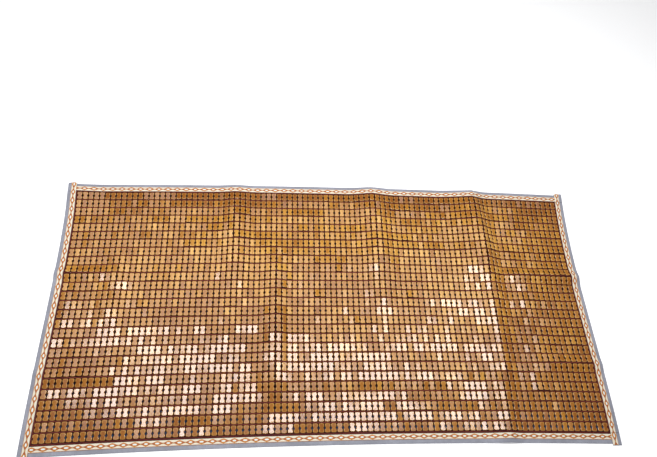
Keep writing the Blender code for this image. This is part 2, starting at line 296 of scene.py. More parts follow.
# %% Node wiring
class Wiring:
    """Adds nodes to one tree: most calls return the new node's output socket."""

    def __init__(self, tree):
        self.tree = tree

    def feed(self, socket, value):
        if isinstance(value, bpy.types.NodeSocket):
            self.tree.links.new(value, socket)
        else:
            socket.default_value = value

    def outputs(self, kind, inputs=(), **settings):
        """All outputs of a new node, with its settings and its sockets filled in."""
        made = self.tree.nodes.new("ShaderNode" + kind)
        for name, value in settings.items():
            setattr(made, name, value)
        for key, value in dict(inputs).items():
            self.feed(made.inputs[key], value)
        return made.outputs

    def math(self, operation, *values):
        return self.outputs("Math", enumerate(values), operation=operation)[0]

    def ramp(self, value, low, high, new_low=0.0, new_high=1.0):
        """Smooth step from new_low at low to new_high at high."""
        inputs = {"Value": value, "From Min": low, "From Max": high,
                  "To Min": new_low, "To Max": new_high}
        return self.outputs("MapRange", inputs, interpolation_type="SMOOTHSTEP")[0]

    def mix(self, share, first, second):
        """A blend of two colours: the first where share is 0, the second where it is 1."""
        return self.outputs("Mix", {0: share, 6: first, 7: second}, data_type="RGBA")[2]

    def layered(self, colour, *layers):
        """Colours laid over the first one in turn, each given after its own share."""
        for share, next_colour in layers:
            colour = self.mix(share, colour, next_colour)
        return colour

    def scaled(self, vector, across, along):
        scale = (across, along, 1.0)
        return self.outputs("VectorMath", {0: vector, 1: scale}, operation="MULTIPLY")[0]

    def noise(self, vector, scale=1.0, detail=2.0, roughness=0.5):
        inputs = {"Vector": vector, "Scale": scale, "Detail": detail, "Roughness": roughness}
        return self.outputs("TexNoise", inputs)[0]

    def parts(self, vector):
        """The three parts of a vector, as a list."""
        return list(self.outputs("SeparateXYZ", {0: vector}))

    def attribute(self, name):
        return self.outputs("Attribute", attribute_name=name)["Fac"]

    def uv(self, name):
        return self.outputs("UVMap", uv_map=name)[0]

    def object_place(self):
        return self.outputs("TexCoord")["Object"]

    def bump(self, height, strength=1.0, distance=1.0, **under):
        """Relief from a height, which is in metres where strength and distance are one."""
        inputs = {"Height": height, "Strength": strength, "Distance": distance, **under}
        return self.outputs("Bump", inputs)[0]

    def group(self, group, inputs):
        """Place a shared group and return its outputs by name."""
        made = self.outputs("Group", inputs, node_tree=group)
        return {socket.name: socket for socket in made}


def new_group(name, numbers, results):
    """An empty group: a vector and named numbers go in, and named numbers come out."""
    group = bpy.data.node_groups.new(name, "ShaderNodeTree")
    group.interface.new_socket("Vector", in_out="INPUT", socket_type="NodeSocketVector")
    for socket_name, default in numbers.items():
        socket = group.interface.new_socket(
            socket_name, in_out="INPUT", socket_type="NodeSocketFloat")
        socket.default_value = default
    for socket_name in results:
        group.interface.new_socket(
            socket_name, in_out="OUTPUT", socket_type="NodeSocketFloat")
    inside = group.nodes.new("NodeGroupInput")
    outside = group.nodes.new("NodeGroupOutput")
    return group, Wiring(group), inside.outputs, outside.inputs


def srgb(red, green, blue):
    """Turn a colour as a screen shows it, 0 to 255, into the linear one that shaders use."""
    share = np.array([red, green, blue]) / 255.0
    linear = np.where(share <= 0.04045, share / 12.92, ((share + 0.055) / 1.055) ** 2.4)
    return (*linear.tolist(), 1.0)


def new_material(name, **constants):
    """A Principled material with its constant sockets set, and a wiring for the rest."""
    material = bpy.data.materials.new(name)
    material.use_nodes = True
    shader = material.node_tree.nodes["Principled BSDF"]
    for socket_name, value in constants.items():
        shader.inputs[socket_name.replace("_", " ")].default_value = value
    return material, Wiring(material.node_tree), shader.inputs


# %% [markdown]
# ## Shared effects
# The finishes are built from four effects. Bamboo has fine dark fibres that run the length of
# each tile. Cord and sewing thread are twisted, so fine slanting ridges wind round them.
# Band and braid are woven, with threads passing over and under each other. Dust and handling
# leave a soft, cloudy change of tone on all of them. Each is a node group that puts out plain
# values, and each material gives it its own scale.


# %% Twist of cords and threads
def twist_group():
    """Ridges |sin(pi (turns along + strands around))|, over a map of (metres, share round)."""
    group, wiring, given, out = new_group(
        "strand_twist", {"Turns per metre": 200.0, "Strands": 3.0}, ["Ridge"])
    run, share = wiring.parts(given["Vector"])[:2]
    turns = wiring.math("MULTIPLY", run, given["Turns per metre"])
    angle = wiring.math("MULTIPLY_ADD", share, given["Strands"], turns)
    wave = wiring.math("SINE", wiring.math("MULTIPLY", angle, np.pi))
    wiring.feed(out["Ridge"], wiring.math("ABSOLUTE", wave))
    return group


# %% Plain weave
OVER_SHARE, ROUND_SHARE = 0.4, 0.3
THREAD_ACROSS, THREAD_ALONG = 900.0, 60.0


def weave_group():
    """Over-and-under threads: each thread is half a sine wave, raised where it lies on top."""
    group, wiring, given, out = new_group(
        "plain_weave", {"Threads per metre": 1400.0}, ["Height", "Thread tone"])
    step = wiring.math("MULTIPLY", given["Threads per metre"], np.pi)
    warp, weft = (
        wiring.math("SINE", wiring.math("MULTIPLY", part, step))
        for part in wiring.parts(given["Vector"])[:2]
    )
    over = wiring.math("MULTIPLY", warp, weft)
    rounds = wiring.math("ADD", *(wiring.math("ABSOLUTE", wave) for wave in (warp, weft)))
    rounds = wiring.math("MULTIPLY", rounds, ROUND_SHARE)
    wiring.feed(out["Height"], wiring.math("MULTIPLY_ADD", over, OVER_SHARE, rounds))
    uneven = wiring.math("ADD", *(
        wiring.noise(wiring.scaled(given["Vector"], *scales))
        for scales in ((THREAD_ACROSS, THREAD_ALONG), (THREAD_ALONG, THREAD_ACROSS))
    ))
    wiring.feed(out["Thread tone"], wiring.math("MULTIPLY", uneven, 0.5))
    return group


# %% Cloudy wear
SMALL_CLOUD_SCALE, SMALL_CLOUD_SHARE = 9.0, 0.3


def wear_group():
    """Two sizes of cloud added together, from 0 to 1 with a middle of a half."""
    group, wiring, given, out = new_group("cloudy_wear", {"Cloud size": 0.2}, ["Cloud"])
    scale = wiring.math("DIVIDE", 1.0, given["Cloud size"])
    large = wiring.noise(given["Vector"], scale, detail=3.0, roughness=0.6)
    small = wiring.noise(given["Vector"], wiring.math("MULTIPLY", scale, SMALL_CLOUD_SCALE))
    large = wiring.math("MULTIPLY", large, 1.0 - SMALL_CLOUD_SHARE)
    both = wiring.math("MULTIPLY_ADD", small, SMALL_CLOUD_SHARE, large)
    wiring.feed(out["Cloud"], wiring.ramp(both, 0.3, 0.7))
    return group


# %% Bamboo fibres
# Scale across and along the tile, detail of the noise, and where its ramp starts and ends
FIBRES = {
    "Fine": (1300.0, 26.0, 3.0, 0.3, 0.7),
    "Broad": (330.0, 9.0, 1.0, 0.32, 0.68),
    "Dash": (1900.0, 190.0, 0.0, 0.62, 0.74),
}


def fibre_group():
    """Fibres drawn out along the tile: fine ones, broad streaks and short dark dashes."""
    group, wiring, given, out = new_group("bamboo_fibre", {}, FIBRES)
    for name, (across, along, detail, low, high) in FIBRES.items():
        noise = wiring.noise(wiring.scaled(given["Vector"], across, along), detail=detail)
        wiring.feed(out[name], wiring.ramp(noise, low, high))
    return group


TWIST, WEAVE, WEAR, FIBRE = twist_group(), weave_group(), wear_group(), fibre_group()

# %% [markdown]
# ## Lacquered bamboo
# Each tile is cut from a different strip of cane, so its tone differs from its neighbours'. A
# number is stored on every tile, and with a soft cloud over the whole mat it picks a tone
# between a toasted brown and a pale straw. The number also carries a drift over the mat, which
# is painted light and shade. Dark fibres run down the tile over that. Towards its outline the
# face is lighter, a painted highlight, and a number on the points paints shade on the cut sides
# and the low part of the bevel, as dark as the cords. The lacquer is a clear coat with its own
# fixed roughness. The fibres press through it as a faint bump, which breaks up each glint, and a
# crown, worked out from the place on the face, bends the mirror image as a slip of cane that was
# smoothed by hand does.


# %% Bamboo material
BROWN, GOLD, STRAW = srgb(148, 84, 16), srgb(203, 138, 42), srgb(246, 188, 88)
STREAK, DASH = srgb(158, 88, 22), srgb(104, 60, 24)
# Painted highlight for the rim of each face, and painted shade for its cut sides
RIM_HIGHLIGHT, GAP_SHADE = srgb(246, 196, 112), srgb(88, 26, 10)
CLOUD_SIZE, CLOUD_SHARE = 0.3, 0.4
CROWN_ACROSS, CROWN_ALONG = 0.8 * MM, 0.25 * MM
CROWN_POWERS = (2.0, 4.0)
FIBRE_DEPTH = 0.08 * MM


def bamboo_material():
    """Tone with its painted light drift, fibres, a painted rim highlight and painted shade on
    the cut sides as colours, with pressed fibres on a crowned face.
    """
    material, wiring, shader = new_material(
        "lacquered_bamboo", Metallic=0.0, IOR=1.5, Specular_IOR_Level=0.2, Coat_Roughness=0.14,
        Coat_IOR=1.69,
    )
    fibre = wiring.group(FIBRE, {"Vector": wiring.uv("tile_plan")})
    cloud = wiring.group(WEAR, {"Vector": wiring.object_place(), "Cloud size": CLOUD_SIZE})
    cloudy = wiring.math("SUBTRACT", cloud["Cloud"], 0.5)
    # The stored number holds each tile's own tone and the drift of painted light and shade
    tone = wiring.math("MULTIPLY_ADD", cloudy, CLOUD_SHARE, wiring.attribute("tile_tone_and_light"))
    face = wiring.parts(wiring.uv("tile_face"))[:2]
    reach_x, reach_y = (wiring.math("ABSOLUTE", part) for part in face)
    # Painted highlight: lighter towards the outline of the face
    rim = wiring.math("MAXIMUM", wiring.ramp(reach_x, 0.45, 0.9, 0.0, 0.5),
                      wiring.ramp(reach_y, 0.75, 0.97, 0.0, 0.5))
    # Painted shade on the cut sides and the low part of the bevel, where they face the gaps
    cut = wiring.ramp(wiring.attribute("tile_ring"), 0.1, 0.6, 0.95, 0.0)
    wiring.feed(shader["Base Color"], wiring.layered(
        BROWN,
        (wiring.ramp(tone, -0.1, 0.7), GOLD),
        (wiring.ramp(tone, 0.35, 1.0), STRAW),
        (wiring.math("MULTIPLY", fibre["Broad"], 0.5), STREAK),
        (wiring.math("MULTIPLY", fibre["Dash"], 0.45), DASH),
        (rim, RIM_HIGHLIGHT),
        (cut, GAP_SHADE),
    ))
    wiring.feed(shader["Roughness"], wiring.ramp(fibre["Broad"], 0.0, 1.0, 0.26, 0.36))
    wiring.feed(shader["Coat Weight"], wiring.ramp(fibre["Fine"], 0.0, 1.0, 1.0, 0.7))
    height = wiring.math("MULTIPLY_ADD", fibre["Broad"], 0.8, fibre["Fine"])
    pressed = wiring.bump(height, 0.1, FIBRE_DEPTH)
    fall_x, fall_y = (
        wiring.math("POWER", reach, power)
        for reach, power in zip((reach_x, reach_y), CROWN_POWERS)
    )
    crown = wiring.math("MULTIPLY", fall_x, -CROWN_ACROSS)
    crown = wiring.math("MULTIPLY_ADD", fall_y, -CROWN_ALONG, crown)
    wiring.feed(shader["Normal"], wiring.bump(crown, Normal=pressed))
    return material


BAMBOO = ("bamboo", bamboo_material())

# %% [markdown]
# ## One tile
# A tile is a bone-shaped slip of bamboo with rounded corners and a waist. It could be a box
# with a Bevel modifier, but the waist would be lost and 2511 copies would be heavy. So its
# outline is worked out: quarter ellipses at the corners, ends that swell a little, and a waist
# that dips by half a cosine. Three rings of that outline make it a solid: a narrow foot, the
# full width, and the flat top set in by the bevel. The rings are 28 points each, so a tile has
# 58 faces. Only the wall and bevel are smooth, which keeps the top flat and the edge round.

# %% Tile outline
TILE_WIDTH, TILE_LENGTH, TILE_THICKNESS = 18.1 * MM, 30.0 * MM, 5.5 * MM
WAIST_DEPTH = 2.8 * MM
WAIST_REACH = 6.4 * MM
CORNER_WIDTH, CORNER_LENGTH = 3.4 * MM, 4.2 * MM
END_SWELL = 0.25 * MM
BEVEL_WIDTH, BEVEL_DROP = 1.8 * MM, 1.4 * MM
FOOT_INSET = 1.0 * MM
# Numbers stored on the points of the foot, the full width and the top
RING_VALUES = (-1.0, 0.0, 1.0)
# Heights on half a waist at which the outline has points, as shares of its reach
WAIST_SHARES = np.array([0.0, 0.38, 0.66, 1.0])


def tile_outline():
    """Points anticlockwise: waist w/2 - depth (1 + cos(pi y / reach)) / 2, corners, ends."""
    side_y = WAIST_REACH * WAIST_SHARES
    side_x = TILE_WIDTH / 2.0 - WAIST_DEPTH * (1.0 + np.cos(np.pi * side_y / WAIST_REACH)) / 2.0
    turn = np.radians([0.0, 45.0, 90.0])
    corner_x = TILE_WIDTH / 2.0 - CORNER_WIDTH * (1.0 - np.cos(turn))
    corner_y = TILE_LENGTH / 2.0 - END_SWELL - CORNER_LENGTH * (1.0 - np.sin(turn))
    quarter = np.stack([
        np.concatenate([side_x, corner_x, [0.0]]),
        np.concatenate([side_y, corner_y, [TILE_LENGTH / 2.0]]),
    ], axis=1)
    upper = np.concatenate([quarter, quarter[-2::-1] * (-1.0, 1.0)])
    return np.concatenate([upper, upper[-2:0:-1] * (1.0, -1.0)])


def inset(outline, distance):
    """Move each point inwards along the mean of its two edges' normals."""
    edge = np.roll(outline, -1, axis=0) - outline
    normal = np.stack([edge[:, 1], -edge[:, 0]], axis=1)
    normal /= np.linalg.norm(normal, axis=1, keepdims=True)
    mean = normal + np.roll(normal, 1, axis=0)
    mean /= np.linalg.norm(mean, axis=1, keepdims=True)
    return outline - distance * mean


def ring_quads(rings, size):
    """Quads between rings of points that lie one above another."""
    here = np.arange(size)
    after = np.roll(here, -1)
    quads = np.stack([here, after, after + size, here + size], axis=1)
    return np.concatenate([quads + size * ring for ring in range(rings - 1)])


OUTLINE = tile_outline()
TILE_RINGS = [
    (inset(OUTLINE, FOOT_INSET), 0.0),
    (OUTLINE, TILE_THICKNESS - BEVEL_DROP),
    (inset(OUTLINE, BEVEL_WIDTH), TILE_THICKNESS),
]
tile_points = np.concatenate([
    np.column_stack([ring, np.full(len(ring), height)]) for ring, height in TILE_RINGS
])
ring_size = len(OUTLINE)
tile_quads = ring_quads(len(TILE_RINGS), ring_size)
foot = np.arange(ring_size)
tile_caps = np.stack([foot[::-1], foot + ring_size * (len(TILE_RINGS) - 1)])
print("points on the outline:", ring_size, "faces on a tile:", len(tile_quads) + len(tile_caps))

# %% [markdown]
# ## Tile by tile over the net
# A tile is rigid, so it can't bend over a buckle. It takes the mean of its four crossings as
# its middle and the directions between them as its axes, made square to each other. Laced
# tiles never lie quite level. Short runs of tiles in a row tip together, because one cord
# holds them, and each tile adds a little of its own. Longer stretches that a buckle or a fold
# line tips as one are listed. These small tilts are what makes some tiles flash white
# while their neighbours stay brown. The tone of a tile is a dice roll round a value that drifts
# over the mat: paler to the right and back, and darker along the back rim and the right end.
# The drift is painted light and shade.

# %% Place the tiles
RUN_LENGTH = 5.0
RUN_TIP, TILE_TIP = np.radians(2.5), np.radians(1.8)
PATCH_SPREAD = 0.35
TONE_SPREAD = 0.1
LIGHT_TO_RIGHT, LIGHT_TO_BACK, SHADE_AT_RIM, SHADE_AT_END = 0.1, 0.24, 0.65, 0.34
RIM_POWER, END_POWER = 6, 4
TILE_CLEARANCE = 0.2 * MM
# First and last row, first and last column, and tip in degrees towards the back
TIPPED_PATCHES = [
    (0, 1, 0, 14, -4.0), (2, 2, 0, 9, -4.0), (0, 2, 76, 92, -2.5), (1, 2, 30, 35, -2.0),
    (3, 4, 0, 3, -4.0), (3, 3, 27, 33, 2.5), (3, 3, 44, 55, 2.5), (4, 4, 52, 65, -4.5),
    (5, 5, 38, 66, 0.5), (5, 5, 70, 75, -5.5), (6, 6, 0, 6, 6.0), (6, 6, 8, 19, -1.0),
    (7, 7, 0, 7, 3.0), (7, 7, 13, 54, -1.0), (7, 7, 57, 64, 4.5), (8, 8, 14, 51, -2.0),
    (6, 9, 32, 35, 4.5), (9, 9, 38, 42, -3.5), (12, 13, 68, 76, -5.0), (13, 13, 80, 92, -5.0),
    (16, 16, 20, 26, -4.5), (17, 17, 9, 13, -4.5), (17, 18, 54, 57, -4.0), (24, 26, 0, 4, -5.0),
]
dice = np.random.default_rng(27)


def unit(vectors):
    """Vectors of length one along the last axis."""
    return vectors / np.linalg.norm(vectors, axis=-1, keepdims=True)


def square_axes(along_x, along_y):
    """Two axes at right angles that share out the skew between the given ones evenly."""
    first, second = unit(along_x), unit(along_y)
    middle, across = unit(first + second), unit(first - second)
    return unit(middle + across), unit(middle - across)


def tipping_runs():
    """One tilt for each run of tiles in a row. A run ends where a dice roll says so."""
    starts = dice.random((ROWS, COLUMNS)) < 1.0 / RUN_LENGTH
    run = np.cumsum(starts, axis=1)
    tilts = RUN_TIP * dice.normal(size=(ROWS, COLUMNS + 1))
    tips = np.take_along_axis(tilts, run, axis=1)
    for first_row, last_row, first, last, tip in TIPPED_PATCHES:
        patch = tips[first_row:last_row + 1, first:last + 1]
        patch *= PATCH_SPREAD
        patch += np.radians(tip)
    return tips


def tile_places():
    """Middle and three axes of each tile, as arrays over rows and columns."""
    net = np.stack([net_x, net_y, net_z], axis=-1)
    low_left, low_right = net[:-1, :-1], net[:-1, 1:]
    top_left, top_right = net[1:, :-1], net[1:, 1:]
    middle = (low_left + low_right + top_left + top_right) / 4.0
    axis_x, axis_y = square_axes(
        low_right + top_right - low_left - top_left,
        top_left + top_right - low_left - low_right,
    )
    normal = np.cross(axis_x, axis_y)
    tip = tipping_runs() + TILE_TIP * dice.normal(size=(ROWS, COLUMNS))
    roll = TILE_TIP * dice.normal(size=(ROWS, COLUMNS))
    lifted = np.abs(tip) * TILE_LENGTH / 2.0 + np.abs(roll) * TILE_WIDTH / 2.0
    middle = middle + normal * (TILE_CLEARANCE + lifted)[..., None]
    normal = unit(normal + axis_y * tip[..., None] + axis_x * roll[..., None])
    axis_x = unit(axis_x - normal * (axis_x * normal).sum(-1, keepdims=True))
    return middle, np.stack([axis_x, np.cross(normal, axis_x), normal], axis=-2)


tile_middle, tile_axes = tile_places()
share_x, share_y = np.linspace(-1.0, 1.0, COLUMNS), np.linspace(-1.0, 1.0, ROWS)[:, None]
far_x, far_y = np.maximum(share_x, 0.0), np.maximum(share_y, 0.0)
# Painted light and shade: a drift over the mat, added to each tile's random tone
painted_light_drift = LIGHT_TO_RIGHT * share_x + LIGHT_TO_BACK * share_y
painted_light_drift = (painted_light_drift - SHADE_AT_RIM * far_y ** RIM_POWER
              - SHADE_AT_END * far_x ** END_POWER)
tile_tone_and_light = np.clip(dice.normal(0.5, TONE_SPREAD, (ROWS, COLUMNS)) + painted_light_drift, 0.0, 1.0)
grain_start = dice.random((ROWS, COLUMNS, 2))


def for_copies(block, copies, size):
    """The faces of a template with `size` points, once for each of its copies."""
    first = (np.arange(copies) * size)[:, None, None]
    return (first + block).reshape(-1, block.shape[1])


def tile_block(name, rows):
    """All tiles of these rows as one mesh: template points turned by each tile's axes."""
    middle = tile_middle[rows].reshape(-1, 1, 3)
    axes = tile_axes[rows].reshape(-1, 3, 3)
    count = len(middle)
    points = middle + np.einsum("pk,nkc->npc", tile_points, axes)
    template = (tile_quads, tile_caps)
    faces = [for_copies(block, count, len(tile_points)) for block in template]
    plan = tile_points[:, :2] + grain_start[rows].reshape(-1, 1, 2)
    on_face = tile_points[:, :2] / (TILE_WIDTH / 2.0, TILE_LENGTH / 2.0)
    tone = np.concatenate([np.repeat(tile_tone_and_light[rows].ravel(), len(block)) for block in template])
    ring = np.tile(np.repeat(RING_VALUES, ring_size), count)
    return make_piece(
        name, "tile_field", BAMBOO, points.reshape(-1, 3), faces,
        maps={"tile_plan": plan.reshape(-1, 2), "tile_face": np.tile(on_face, (count, 1))},
        values=[("tile_tone_and_light", "FACE", tone), ("tile_ring", "POINT", ring)],
        smooth=np.repeat([True, False], [len(block) for block in faces]),
    )


FIELD_LENGTH = COLUMNS * TILE_PITCH_X
BLOCK_ROWS = 9
for block, name in enumerate(("tiles_front", "tiles_middle", "tiles_back")):
    tiles = tile_block(name, slice(block * BLOCK_ROWS, (block + 1) * BLOCK_ROWS))

# %% [markdown]
# ## Lacing cords
# A dark red-brown cord runs between each two rows of tiles, and a thinner one between each two
# columns, dipping under it where they cross. A curve object with a bevel would do for one
# cord. For 122 of them, one function sweeps a small ring of points along all the cords at
# once. Two UV numbers, metres along and share of the way round, carry the twist.


# %% Cord material
CORD_TURNS, CORD_STRANDS = 420.0, 3.0
CORD_CLOUD = 0.12
STRAND_DEPTH = 0.25 * MM
# Painted shade for the grooves between a cord's strands
GROOVE_SHADE = srgb(34, 9, 10)


def cord_material(name, dark, light):
    """The finish of a dyed cord: two cloudy tones, and painted shade in the grooves between its
    strands.
    """
    material, wiring, shader = new_material(
        name, Metallic=0.0, Specular_IOR_Level=0.15, Sheen_Weight=0.03,
        Sheen_Roughness=0.4, Sheen_Tint=srgb(190, 120, 96),
    )
    ridge = wiring.group(TWIST, {
        "Vector": wiring.uv("cord_map"), "Turns per metre": CORD_TURNS, "Strands": CORD_STRANDS,
    })["Ridge"]
    cloud = wiring.group(WEAR, {"Vector": wiring.object_place(), "Cloud size": CORD_CLOUD})
    # Painted shade: darker in the grooves of the twist
    shaded_groove = wiring.ramp(ridge, 0.0, 0.6, 0.55, 0.0)
    wiring.feed(shader["Base Color"], wiring.layered(
        dark, (cloud["Cloud"], light), (shaded_groove, GROOVE_SHADE)))
    wiring.feed(shader["Roughness"], wiring.ramp(ridge, 0.0, 1.0, 0.75, 0.45))
    wiring.feed(shader["Normal"], wiring.bump(ridge, 0.6, STRAND_DEPTH))
    return "lacing_cord", material


CORD = cord_material("lacing_cord", srgb(108, 42, 36), srgb(138, 68, 58))
# A darker copy of the cord, for knots and stitches, and as painted shade on the column cords
KNOT = cord_material("cord_knot", srgb(54, 16, 15), srgb(80, 30, 27))
EDGE = cord_material("edge_cord", srgb(84, 28, 25), srgb(114, 48, 41))

# %% Sweep cords along the net
ROW_CORD_RADIUS, ROW_CORD_HEIGHT = 1.9 * MM, 3.6 * MM
COLUMN_CORD_RADIUS, COLUMN_CORD_HEIGHT = 0.9 * MM, 1.6 * MM
CROSSING_DIP = 0.7 * MM
EDGE_CORD_RADIUS, EDGE_CORD_HEIGHT = 3.0 * MM, 3.2 * MM
CORD_SIDES, EDGE_CORD_SIDES = 6, 8
# Stretches that a cord is swept in between two crossings
CORD_PARTS, EDGE_CORD_PARTS = 2, 3


def run_along(lines):
    """Distance from the start of each line of points to each of its points."""
    step = np.linalg.norm(np.diff(lines, axis=-2), axis=-1)
    return np.concatenate([np.zeros((*step.shape[:-1], 1)), np.cumsum(step, axis=-1)], axis=-1)


def swept_faces(lines, stations, sides):
    """Quads and end caps of closed tubes, whose points run by line, station and side."""
    index = np.arange(lines * stations * sides).reshape(lines, stations, sides)
    turned = np.roll(index, -1, axis=2)
    quads = np.stack([index[:, :-1], index[:, 1:], turned[:, 1:], turned[:, :-1]], axis=-1)
    return [quads.reshape(-1, 4), np.concatenate([index[:, 0], index[:, -1, ::-1]])]


def swept_cords(lines, radius, sides):
    """Tubes round many lines of equal length: centre + r (cos a side + sin a up)."""
    forward = unit(np.gradient(lines, axis=1))
    side = unit(np.cross(forward, (0.0, 0.0, 1.0)))
    up = np.cross(side, forward)
    angle = np.linspace(0.0, 2.0 * np.pi, sides, endpoint=False)
    ring = (np.cos(angle)[:, None] * side[:, :, None] + np.sin(angle)[:, None] * up[:, :, None])
    points = lines[:, :, None] + radius * ring
    faces = swept_faces(*lines.shape[:2], sides)

    run = run_along(lines)
    share = np.arange(sides + 1) / sides
    along = np.stack([run[:, :-1], run[:, 1:], run[:, 1:], run[:, :-1]], axis=-1)
    around = np.stack([share[:-1], share[:-1], share[1:], share[1:]], axis=-1)
    quad_map = np.stack(np.broadcast_arrays(along[:, :, None], around), axis=-1)
    corner_map = np.concatenate([quad_map.reshape(-1, 2), np.zeros((faces[1].size, 2))])
    return points.reshape(-1, 3), faces, corner_map


def refined(values, axis, parts):
    """The values again with `parts` - 1 more between each two along an axis, in proportion."""
    count = values.shape[axis]
    at = np.linspace(0, count - 1, (count - 1) * parts + 1)
    below = np.clip(at.astype(int), 0, count - 2)
    share = (at - below).reshape([-1 if k == axis else 1 for k in range(values.ndim)])
    lower = np.take(values, below, axis)
    upper = np.take(values, below + 1, axis)
    return lower * (1.0 - share) + upper * share


def cord_piece(name, lines, radius, finish, sides=CORD_SIDES):
    """Sweep cords along the lines. They stand for the solid field, as the tiles do."""
    points, faces, corner_map = swept_cords(lines, radius, sides)
    make_piece(name, "tile_field", finish, points, faces, {"cord_map": corner_map})


def lifted_net(x, y, height):
    """Points at a height above the mat's own underside."""
    return np.stack([x, y, floor_height(x, y) + height], axis=-1)


fine_x, fine_y = (refined(net, 1, CORD_PARTS) for net in (net_x, net_y))
row_lines = lifted_net(fine_x, fine_y, ROW_CORD_HEIGHT)[1:-1]
cord_piece("row_cords", row_lines, ROW_CORD_RADIUS, CORD)

# A column cord dips at its crossings, which are every second one of its stations
tall_x, tall_y = (refined(net, 0, CORD_PARTS) for net in (net_x, net_y))
dip = np.where(np.arange(len(tall_x)) % CORD_PARTS == 0, CROSSING_DIP, 0.0)[:, None]
column_lines = lifted_net(tall_x, tall_y, COLUMN_CORD_HEIGHT - dip).transpose(1, 0, 2)
# The column cords take the darker knot finish, which on them is painted shade, as they lie low
# in the gaps
cord_piece("column_cords", column_lines[1:-1], COLUMN_CORD_RADIUS, KNOT)

# %% [markdown]
# ## Knots and the edge cord
# Where two cords cross they are tied, and the knot shows as a dark oval, drawn out between the
# tiles' corners. Each knot is two rings of six points between a top and a bottom one, a shape
# so small that more faces would be wasted. Round the outside runs a thicker cord, held by a
# knot at every column and row, before the braid begins.

# %% Knots
# Size of each kind of knot along the mat, across it and upwards
CROSSING_KNOT = (5.8 * MM, 20.0 * MM, 4.6 * MM)
LONG_EDGE_KNOT, LONG_EDGE_KNOT_INSET = (6.0 * MM, 12.0 * MM, 4.8 * MM), 2.4 * MM
SHORT_EDGE_KNOT = (6.4 * MM, 6.0 * MM, 5.0 * MM)
KNOT_MIDDLE = 3.1 * MM
KNOT_SIDES = 6
# Height of the two rings, as a share of half the knot's height, and their width
KNOT_RINGS = [(-0.35, 1.0), (0.55, 0.85)]
KNOT_TURN, KNOT_SCALES = 0.06, (0.85, 1.15)


def knot_template(size):
    """Two rings on an ellipse between a bottom and a top point, all within the given size."""
    angle = np.linspace(0.0, 2.0 * np.pi, KNOT_SIDES, endpoint=False)
    ring = np.stack([np.cos(angle), np.sin(angle)], axis=1)
    rings = [
        np.column_stack([ring * width, np.full(KNOT_SIDES, rise)]) for rise, width in KNOT_RINGS
    ]
    points = np.concatenate([*rings, [(0.0, 0.0, -1.0), (0.0, 0.0, 1.0)]])
    here = np.arange(KNOT_SIDES)
    after = np.roll(here, -1)
    bottom = np.stack([after, here, np.full(KNOT_SIDES, 2 * KNOT_SIDES)], axis=1)
    top = np.stack([here, after, np.full(KNOT_SIDES, KNOT_SIDES + 1)], axis=1) + KNOT_SIDES
    quads = ring_quads(len(KNOT_RINGS), KNOT_SIDES)
    return points * np.array(size) / 2.0, quads, np.concatenate([bottom, top])


def knots(name, x, y, size):
    """A knot at each place, turned and scaled a little by dice rolls."""
    shape, *template = knot_template(size)
    turn = dice.normal(0.0, KNOT_TURN, x.size)
    scale = dice.uniform(*KNOT_SCALES, x.size)
    turned_x = np.outer(np.cos(turn), shape[:, 0]) - np.outer(np.sin(turn), shape[:, 1])
    turned_y = np.outer(np.sin(turn), shape[:, 0]) + np.outer(np.cos(turn), shape[:, 1])
    lift = np.broadcast_to(shape[:, 2], turned_x.shape)
    local = np.stack([turned_x, turned_y, lift], axis=-1) * scale[:, None, None]
    points = (lifted_net(x.ravel(), y.ravel(), KNOT_MIDDLE)[:, None] + local).reshape(-1, 3)
    faces = [for_copies(block, x.size, len(shape)) for block in template]
    spin = np.arctan2(shape[:, 1], shape[:, 0]) / (2.0 * np.pi)
    knot_map = np.tile(np.stack([shape[:, 2], spin], axis=1), (x.size, 1))
    make_piece(name, "tile_field", KNOT, points, faces, {"cord_map": knot_map})


knots("cord_knots", net_x[1:-1, 1:-1], net_y[1:-1, 1:-1], CROSSING_KNOT)

# %% Edge cord
EDGE_CORD_OFFSET = 1.6 * MM
rim_x, rim_y = net_x.copy(), net_y.copy()
rim_x[:, 0] -= EDGE_CORD_OFFSET
rim_x[:, -1] += EDGE_CORD_OFFSET
rim_y[0] -= EDGE_CORD_OFFSET
rim_y[-1] += EDGE_CORD_OFFSET
for name, x, y in (
    ("edge_cords_long", rim_x[[0, -1]], rim_y[[0, -1]]),
    ("edge_cords_short", rim_x[:, [0, -1]].T, rim_y[:, [0, -1]].T),
):
    fine_x, fine_y = (refined(line, 1, EDGE_CORD_PARTS) for line in (x, y))
    lines = lifted_net(fine_x, fine_y, EDGE_CORD_HEIGHT)
    cord_piece(name, lines, EDGE_CORD_RADIUS, EDGE, EDGE_CORD_SIDES)
inwards = LONG_EDGE_KNOT_INSET * np.array([[1.0], [-1.0]])
knots("edge_knots_long", net_x[[0, -1]], net_y[[0, -1]] + inwards, LONG_EDGE_KNOT)
knots("edge_knots_short", rim_x[:, [0, -1]], rim_y[:, [0, -1]], SHORT_EDGE_KNOT)

# %% [markdown]
# ## Cloth band
# The band is a strip of grey cloth, folded double over the edge and sewn down under the braid.
# As flat plates the four strips would look cut from card. So each is a closed strip swept
# along its edge, with a rounded fold outside and low puckers across it, where the seam has
# gathered the cloth. The puckers are a sum of a few sine waves that fade in away from the seam.

# %% Places along the edges
END_REACH = EDGE_CORD_WIDTH + BAND_WIDTH + SHORT_BAND_OVERHANG


def past_braid(out):
    """Share of the way from the braid's outer side to the band's own."""
    return np.clip((out - BRAID_WIDTH) / (BAND_WIDTH - BRAID_WIDTH), 0.0, 1.0)


def droop(out):
    """Share of a buckle's height that a strip keeps, falling off past the braid."""
    return 1.0 - BAND_DROOP * past_braid(out)


